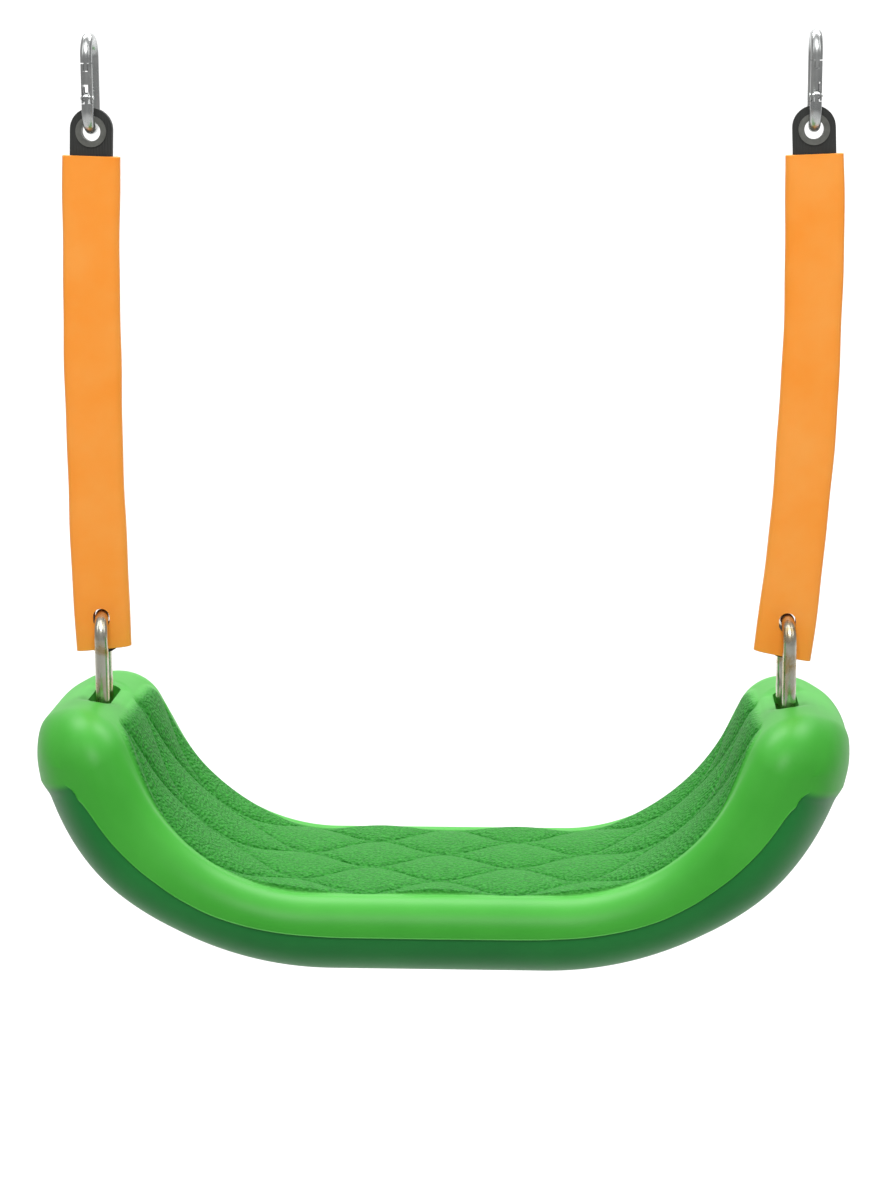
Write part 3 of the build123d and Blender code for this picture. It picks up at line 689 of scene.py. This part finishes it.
# ---------------------------------------------------------------------------------------------
# Belt: a flat black rubber strap with a woven core, 22 by 4 mm with round ends. Its faces keep a
# fine rib from the mould. It carries the load between two eyelets and shows only at its ends.
# ---------------------------------------------------------------------------------------------

# Moulded rubber: near black and dull, with ribs 1.5 mm apart and a bloom of dust in 7 mm clouds.
belt_rubber = new_material("ribbed_black_rubber")
where = add(belt_rubber, "ShaderNodeTexCoord").outputs["Object"]
rib_wave = add(belt_rubber, "ShaderNodeTexWave", {"bands_direction": "X"}, Vector=where, Scale=210.0,
               Distortion=0.4, Detail=1.0)
dust = add(belt_rubber, "ShaderNodeTexNoise", Vector=where, Scale=140.0, Detail=4.0)
belt_tint = add(belt_rubber, "ShaderNodeMix", {"data_type": "RGBA"}, i0=dust.outputs[0],
                i6=linear("#191A19"), i7=linear("#2C2E2B"))
belt_gloss = add(belt_rubber, "ShaderNodeMapRange", Value=dust.outputs[0], To_Min=0.55, To_Max=0.75)
belt_bump = add(belt_rubber, "ShaderNodeBump", Height=rib_wave.outputs[1], Strength=0.35,
                Distance=0.0004)
belt_face = add(belt_rubber, "ShaderNodeBsdfPrincipled", Base_Color=belt_tint.outputs[2],
                Roughness=belt_gloss.outputs[0], IOR=1.52, Normal=belt_bump.outputs[0])
add(belt_rubber, "ShaderNodeOutputMaterial", {"is_active_output": True}, Surface=belt_face.outputs[0])
for side in ("left", "right"):
    repaint(f"{side}_load_belt", belt_rubber)

# Eyelets: rolled steel grommets clenched through the belt, their zinc gone dull and grey.
dull_zinc = new_material("weathered_zinc_plate")
where = add(dull_zinc, "ShaderNodeTexCoord").outputs["Object"]
bloom = add(dull_zinc, "ShaderNodeTexNoise", Vector=where, Scale=320.0, Detail=5.0, Roughness=0.65)
dull_tint = add(dull_zinc, "ShaderNodeMix", {"data_type": "RGBA"}, i0=bloom.outputs[0],
                i6=linear("#63645F"), i7=linear("#8F908B"))
dull_gloss = add(dull_zinc, "ShaderNodeMapRange", Value=bloom.outputs[0], To_Min=0.42, To_Max=0.62)
dull_bump = add(dull_zinc, "ShaderNodeBump", Height=bloom.outputs[0], Strength=0.15, Distance=0.0002)
dull_face = add(dull_zinc, "ShaderNodeBsdfPrincipled", Base_Color=dull_tint.outputs[2], Metallic=1.0,
                Roughness=dull_gloss.outputs[0], Normal=dull_bump.outputs[0])
add(dull_zinc, "ShaderNodeOutputMaterial", {"is_active_output": True}, Surface=dull_face.outputs[0])
for side in ("left", "right"):
    repaint(f"{side}_lower_eyelet", dull_zinc)
    repaint(f"{side}_upper_eyelet", dull_zinc)

# ---------------------------------------------------------------------------------------------
# Sleeve: an extruded tube of soft orange PVC, pressed flat over the belt and cut off at both
# ends, with a punched hole front and back that the link passes through.
# ---------------------------------------------------------------------------------------------

# Soft PVC: a satin skin that glows a little, mottled in 40 mm patches, with fine lines along the
# tube from the die, 2.4 mm apart.
sleeve_pvc = new_material("extruded_orange_soft_pvc")
where = add(sleeve_pvc, "ShaderNodeTexCoord").outputs["Object"]
height_of = add(sleeve_pvc, "ShaderNodeSeparateXYZ", Vector=where)
run_map = add(sleeve_pvc, "ShaderNodeMapping", Vector=where, Scale=(1.0, 1.0, 0.06))
draw_line = add(sleeve_pvc, "ShaderNodeTexNoise", Vector=run_map.outputs[0], Scale=420.0, Detail=3.0)
mottle = add(sleeve_pvc, "ShaderNodeTexNoise", Vector=where, Scale=26.0, Detail=4.0, Roughness=0.55)
skin_grain = add(sleeve_pvc, "ShaderNodeTexNoise", Vector=where, Scale=900.0, Detail=2.0)
mottled = add(sleeve_pvc, "ShaderNodeMapRange", Value=mottle.outputs[0], From_Min=0.3, From_Max=0.7)
orange = add(sleeve_pvc, "ShaderNodeMix", {"data_type": "RGBA"}, i0=mottled.outputs[0],
             i6=linear("#FF9830"), i7=linear("#FFA446"))
# the low cut end is drawn slightly more amber than the rest
amber_end = add(sleeve_pvc, "ShaderNodeMapRange", {"interpolation_type": "SMOOTHSTEP"},
                Value=height_of.outputs[2], From_Min=-0.318, From_Max=-0.296, To_Min=0.55, To_Max=0.0)
amber_patch = add(sleeve_pvc, "ShaderNodeMath", {"operation": "MULTIPLY"}, i0=amber_end.outputs[0],
                  i1=mottled.outputs[0])
sleeve_colour = add(sleeve_pvc, "ShaderNodeMix", {"data_type": "RGBA"}, i0=amber_patch.outputs[0],
                    i6=orange.outputs[2], i7=linear("#EFA32A"))
drawn = add(sleeve_pvc, "ShaderNodeBump", Height=draw_line.outputs[0], Strength=0.16, Distance=0.0003)
sleeve_bump = add(sleeve_pvc, "ShaderNodeBump", Height=skin_grain.outputs[0], Strength=0.06,
                  Distance=0.0002, Normal=drawn.outputs[0])
sleeve_gloss = add(sleeve_pvc, "ShaderNodeMapRange", Value=mottle.outputs[0], To_Min=0.40, To_Max=0.52)
sleeve_face = add(sleeve_pvc, "ShaderNodeBsdfPrincipled", Base_Color=sleeve_colour.outputs[2], IOR=1.53,
                  Specular_IOR_Level=0.3, Roughness=sleeve_gloss.outputs[0],
                  Normal=sleeve_bump.outputs[0], Subsurface_Weight=0.12, Subsurface_Scale=0.003,
                  Subsurface_Radius=(1.0, 0.4, 0.15))
add(sleeve_pvc, "ShaderNodeOutputMaterial", {"is_active_output": True}, Surface=sleeve_face.outputs[0])

sleeve_half_width, sleeve_half_thick, sleeve_wall = 0.015, 0.0043, 0.0014
end_round, off_square = 0.0003, 0.0011
hole_round, hole_length, hole_above = 0.00445, 0.0107, 0.0005
for side, way, bow in (("left", -1, 0.0021), ("right", 1, 0.0050)):
    low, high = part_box(f"{side}_belt_sleeve")
    link_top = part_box(f"{side}_link_ring")[1][2]
    lower_eye = [sum(c) / 2 for c in zip(*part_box(f"{side}_lower_eyelet"))]
    upper_eye = [sum(c) / 2 for c in zip(*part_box(f"{side}_upper_eyelet"))]

    def tube_centre(z):
        """The tube's middle at a height: a shallow arc through both eyelets, bowed outwards."""
        t = (z - lower_eye[2]) / (upper_eye[2] - lower_eye[2])
        return lower_eye[0] + (upper_eye[0] - lower_eye[0]) * t + way * 4 * bow * t * (1 - t)

    def tube_ring(z, inset, around=72):
        """One ring of the tube's skin; the inset leads from its outer skin to its inner one."""
        half_w, half_t = sleeve_half_width - inset, sleeve_half_thick - inset
        slack = 0.0002 * sin(z * 61 + way) + 0.0001 * sin(z * 143)      # the tube isn't quite even
        lean = (tube_centre(z + 0.001) - tube_centre(z - 0.001)) / 0.002
        ring = []
        for a in np.linspace(0, 2 * pi, around, endpoint=False):
            # a flattened tube: nearly flat faces that close in round folded edges
            ca, sa = cos(a), sin(a)
            x = (half_w + slack) * np.sign(ca) * abs(ca) ** 0.42
            y = half_t * np.sign(sa) * abs(sa) ** 0.78
            y *= 1 - 0.05 * np.exp(-(x / 0.006) ** 2)
            ring.append((tube_centre(z) + x, y, z - lean * x))
        return np.array(ring)

    low_z, high_z = low[2] + end_round, high[2] - end_round
    rings = []
    heights = np.r_[np.linspace(low_z, low_z + 0.045, 46)[:-1], np.linspace(low_z + 0.045, high_z, 90)]
    for z in heights:
        rings.append(tube_ring(z, 0.0))
    for k in (1, 2, 3):
        rings.append(tube_ring(high_z + end_round * sin(pi * k / 4), sleeve_wall * k / 4))
    for z in heights[::-1]:
        rings.append(tube_ring(z, sleeve_wall))
    for k in (1, 2, 3):
        rings.append(tube_ring(low_z - end_round * sin(pi * k / 4), sleeve_wall * (1 - k / 4)))
    rings = np.array(rings)
    # the low end is cut a little off square, and the wall is drawn in round the link's hole
    near_end = 1 - smooth(low_z, low_z + 0.030, rings[..., 2])
    rings[..., 2] += near_end * off_square * -way * (rings[..., 0] - lower_eye[0]) / sleeve_half_width
    hole_top = link_top + hole_above
    hole_low = hole_top - hole_length
    off_hole = np.hypot(rings[..., 0] - lower_eye[0], np.maximum(
        np.abs(rings[..., 2] - (hole_top + hole_low) / 2) - 0.0009, 0)) - 0.0045
    rings[..., 1] -= np.sign(rings[..., 1]) * 0.0005 * np.exp(-(np.maximum(off_hole, 0) / 0.0030) ** 2)
    sleeve = mesh_tube(f"{side}_soft_sleeve", rings, True)
    punch = [(hole_round * cos(a) + lower_eye[0], hole_round * sin(a)
              + (hole_top - hole_round if sin(a) >= 0 else hole_low + hole_round))
             for a in np.linspace(0, 2 * pi, 40, endpoint=False)]
    hollow_out(sleeve, punch, "Y", -0.010, 0.010)
    sleeve.data.shade_smooth()
    sleeve.data.set_sharp_from_angle(angle=radians(50))
    sleeve.data.materials.clear()
    sleeve.data.materials.append(sleeve_pvc)
    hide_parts(f"{side}_belt_sleeve")
    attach(sleeve, f"{side}_hanger")

# ---------------------------------------------------------------------------------------------
# Snap hook: 6 mm zinc-plated steel wire bent to a hook, with a gate that turns on a rivet and is
# held shut by a small torsion spring of hard-drawn wire.
# ---------------------------------------------------------------------------------------------

# Bright zinc on drawn wire: a clean cool metal with 1.4 mm drawing lines along the wire.
hook_zinc = new_material("bright_zinc_plated_wire")
where = add(hook_zinc, "ShaderNodeTexCoord").outputs["Object"]
draw_map = add(hook_zinc, "ShaderNodeMapping", Vector=where, Scale=(1.0, 1.0, 0.15))
drawing = add(hook_zinc, "ShaderNodeTexNoise", Vector=draw_map.outputs[0], Scale=700.0, Detail=3.0)
haze = add(hook_zinc, "ShaderNodeTexNoise", Vector=where, Scale=110.0, Detail=4.0)
hook_tint = add(hook_zinc, "ShaderNodeMix", {"data_type": "RGBA"}, i0=haze.outputs[0],
                i6=linear("#B4B7B8"), i7=linear("#D9DBD8"))
hook_gloss = add(hook_zinc, "ShaderNodeMapRange", Value=haze.outputs[0], To_Min=0.20, To_Max=0.38)
hook_bump = add(hook_zinc, "ShaderNodeBump", Height=drawing.outputs[0], Strength=0.12, Distance=0.0002)
hook_face = add(hook_zinc, "ShaderNodeBsdfPrincipled", Base_Color=hook_tint.outputs[2], Metallic=1.0,
                Roughness=hook_gloss.outputs[0], Normal=hook_bump.outputs[0])
add(hook_zinc, "ShaderNodeOutputMaterial", {"is_active_output": True}, Surface=hook_face.outputs[0])

# Hard-drawn spring steel: darker and bare, with marks of the die 0.7 mm apart.
spring_steel = new_material("hard_drawn_spring_steel")
where = add(spring_steel, "ShaderNodeTexCoord").outputs["Object"]
die_mark = add(spring_steel, "ShaderNodeTexNoise", Vector=where, Scale=1400.0, Detail=2.0)
spring_tint = add(spring_steel, "ShaderNodeMix", {"data_type": "RGBA"}, i0=die_mark.outputs[0],
                  i6=linear("#8C8D8E"), i7=linear("#B9BABA"))
spring_bump = add(spring_steel, "ShaderNodeBump", Height=die_mark.outputs[0], Strength=0.1,
                  Distance=0.0001)
spring_face = add(spring_steel, "ShaderNodeBsdfPrincipled", Metallic=1.0, Roughness=0.30,
                  Base_Color=spring_tint.outputs[2], Normal=spring_bump.outputs[0])
add(spring_steel, "ShaderNodeOutputMaterial", {"is_active_output": True},
    Surface=spring_face.outputs[0])

for side in ("left", "right"):
    repaint(f"{side}_snap_hook_body", hook_zinc)
    repaint(f"{side}_snap_hook_gate", hook_zinc)
    repaint(f"{side}_gate_rivet", hook_zinc)
    repaint(f"{side}_gate_spring", spring_steel)
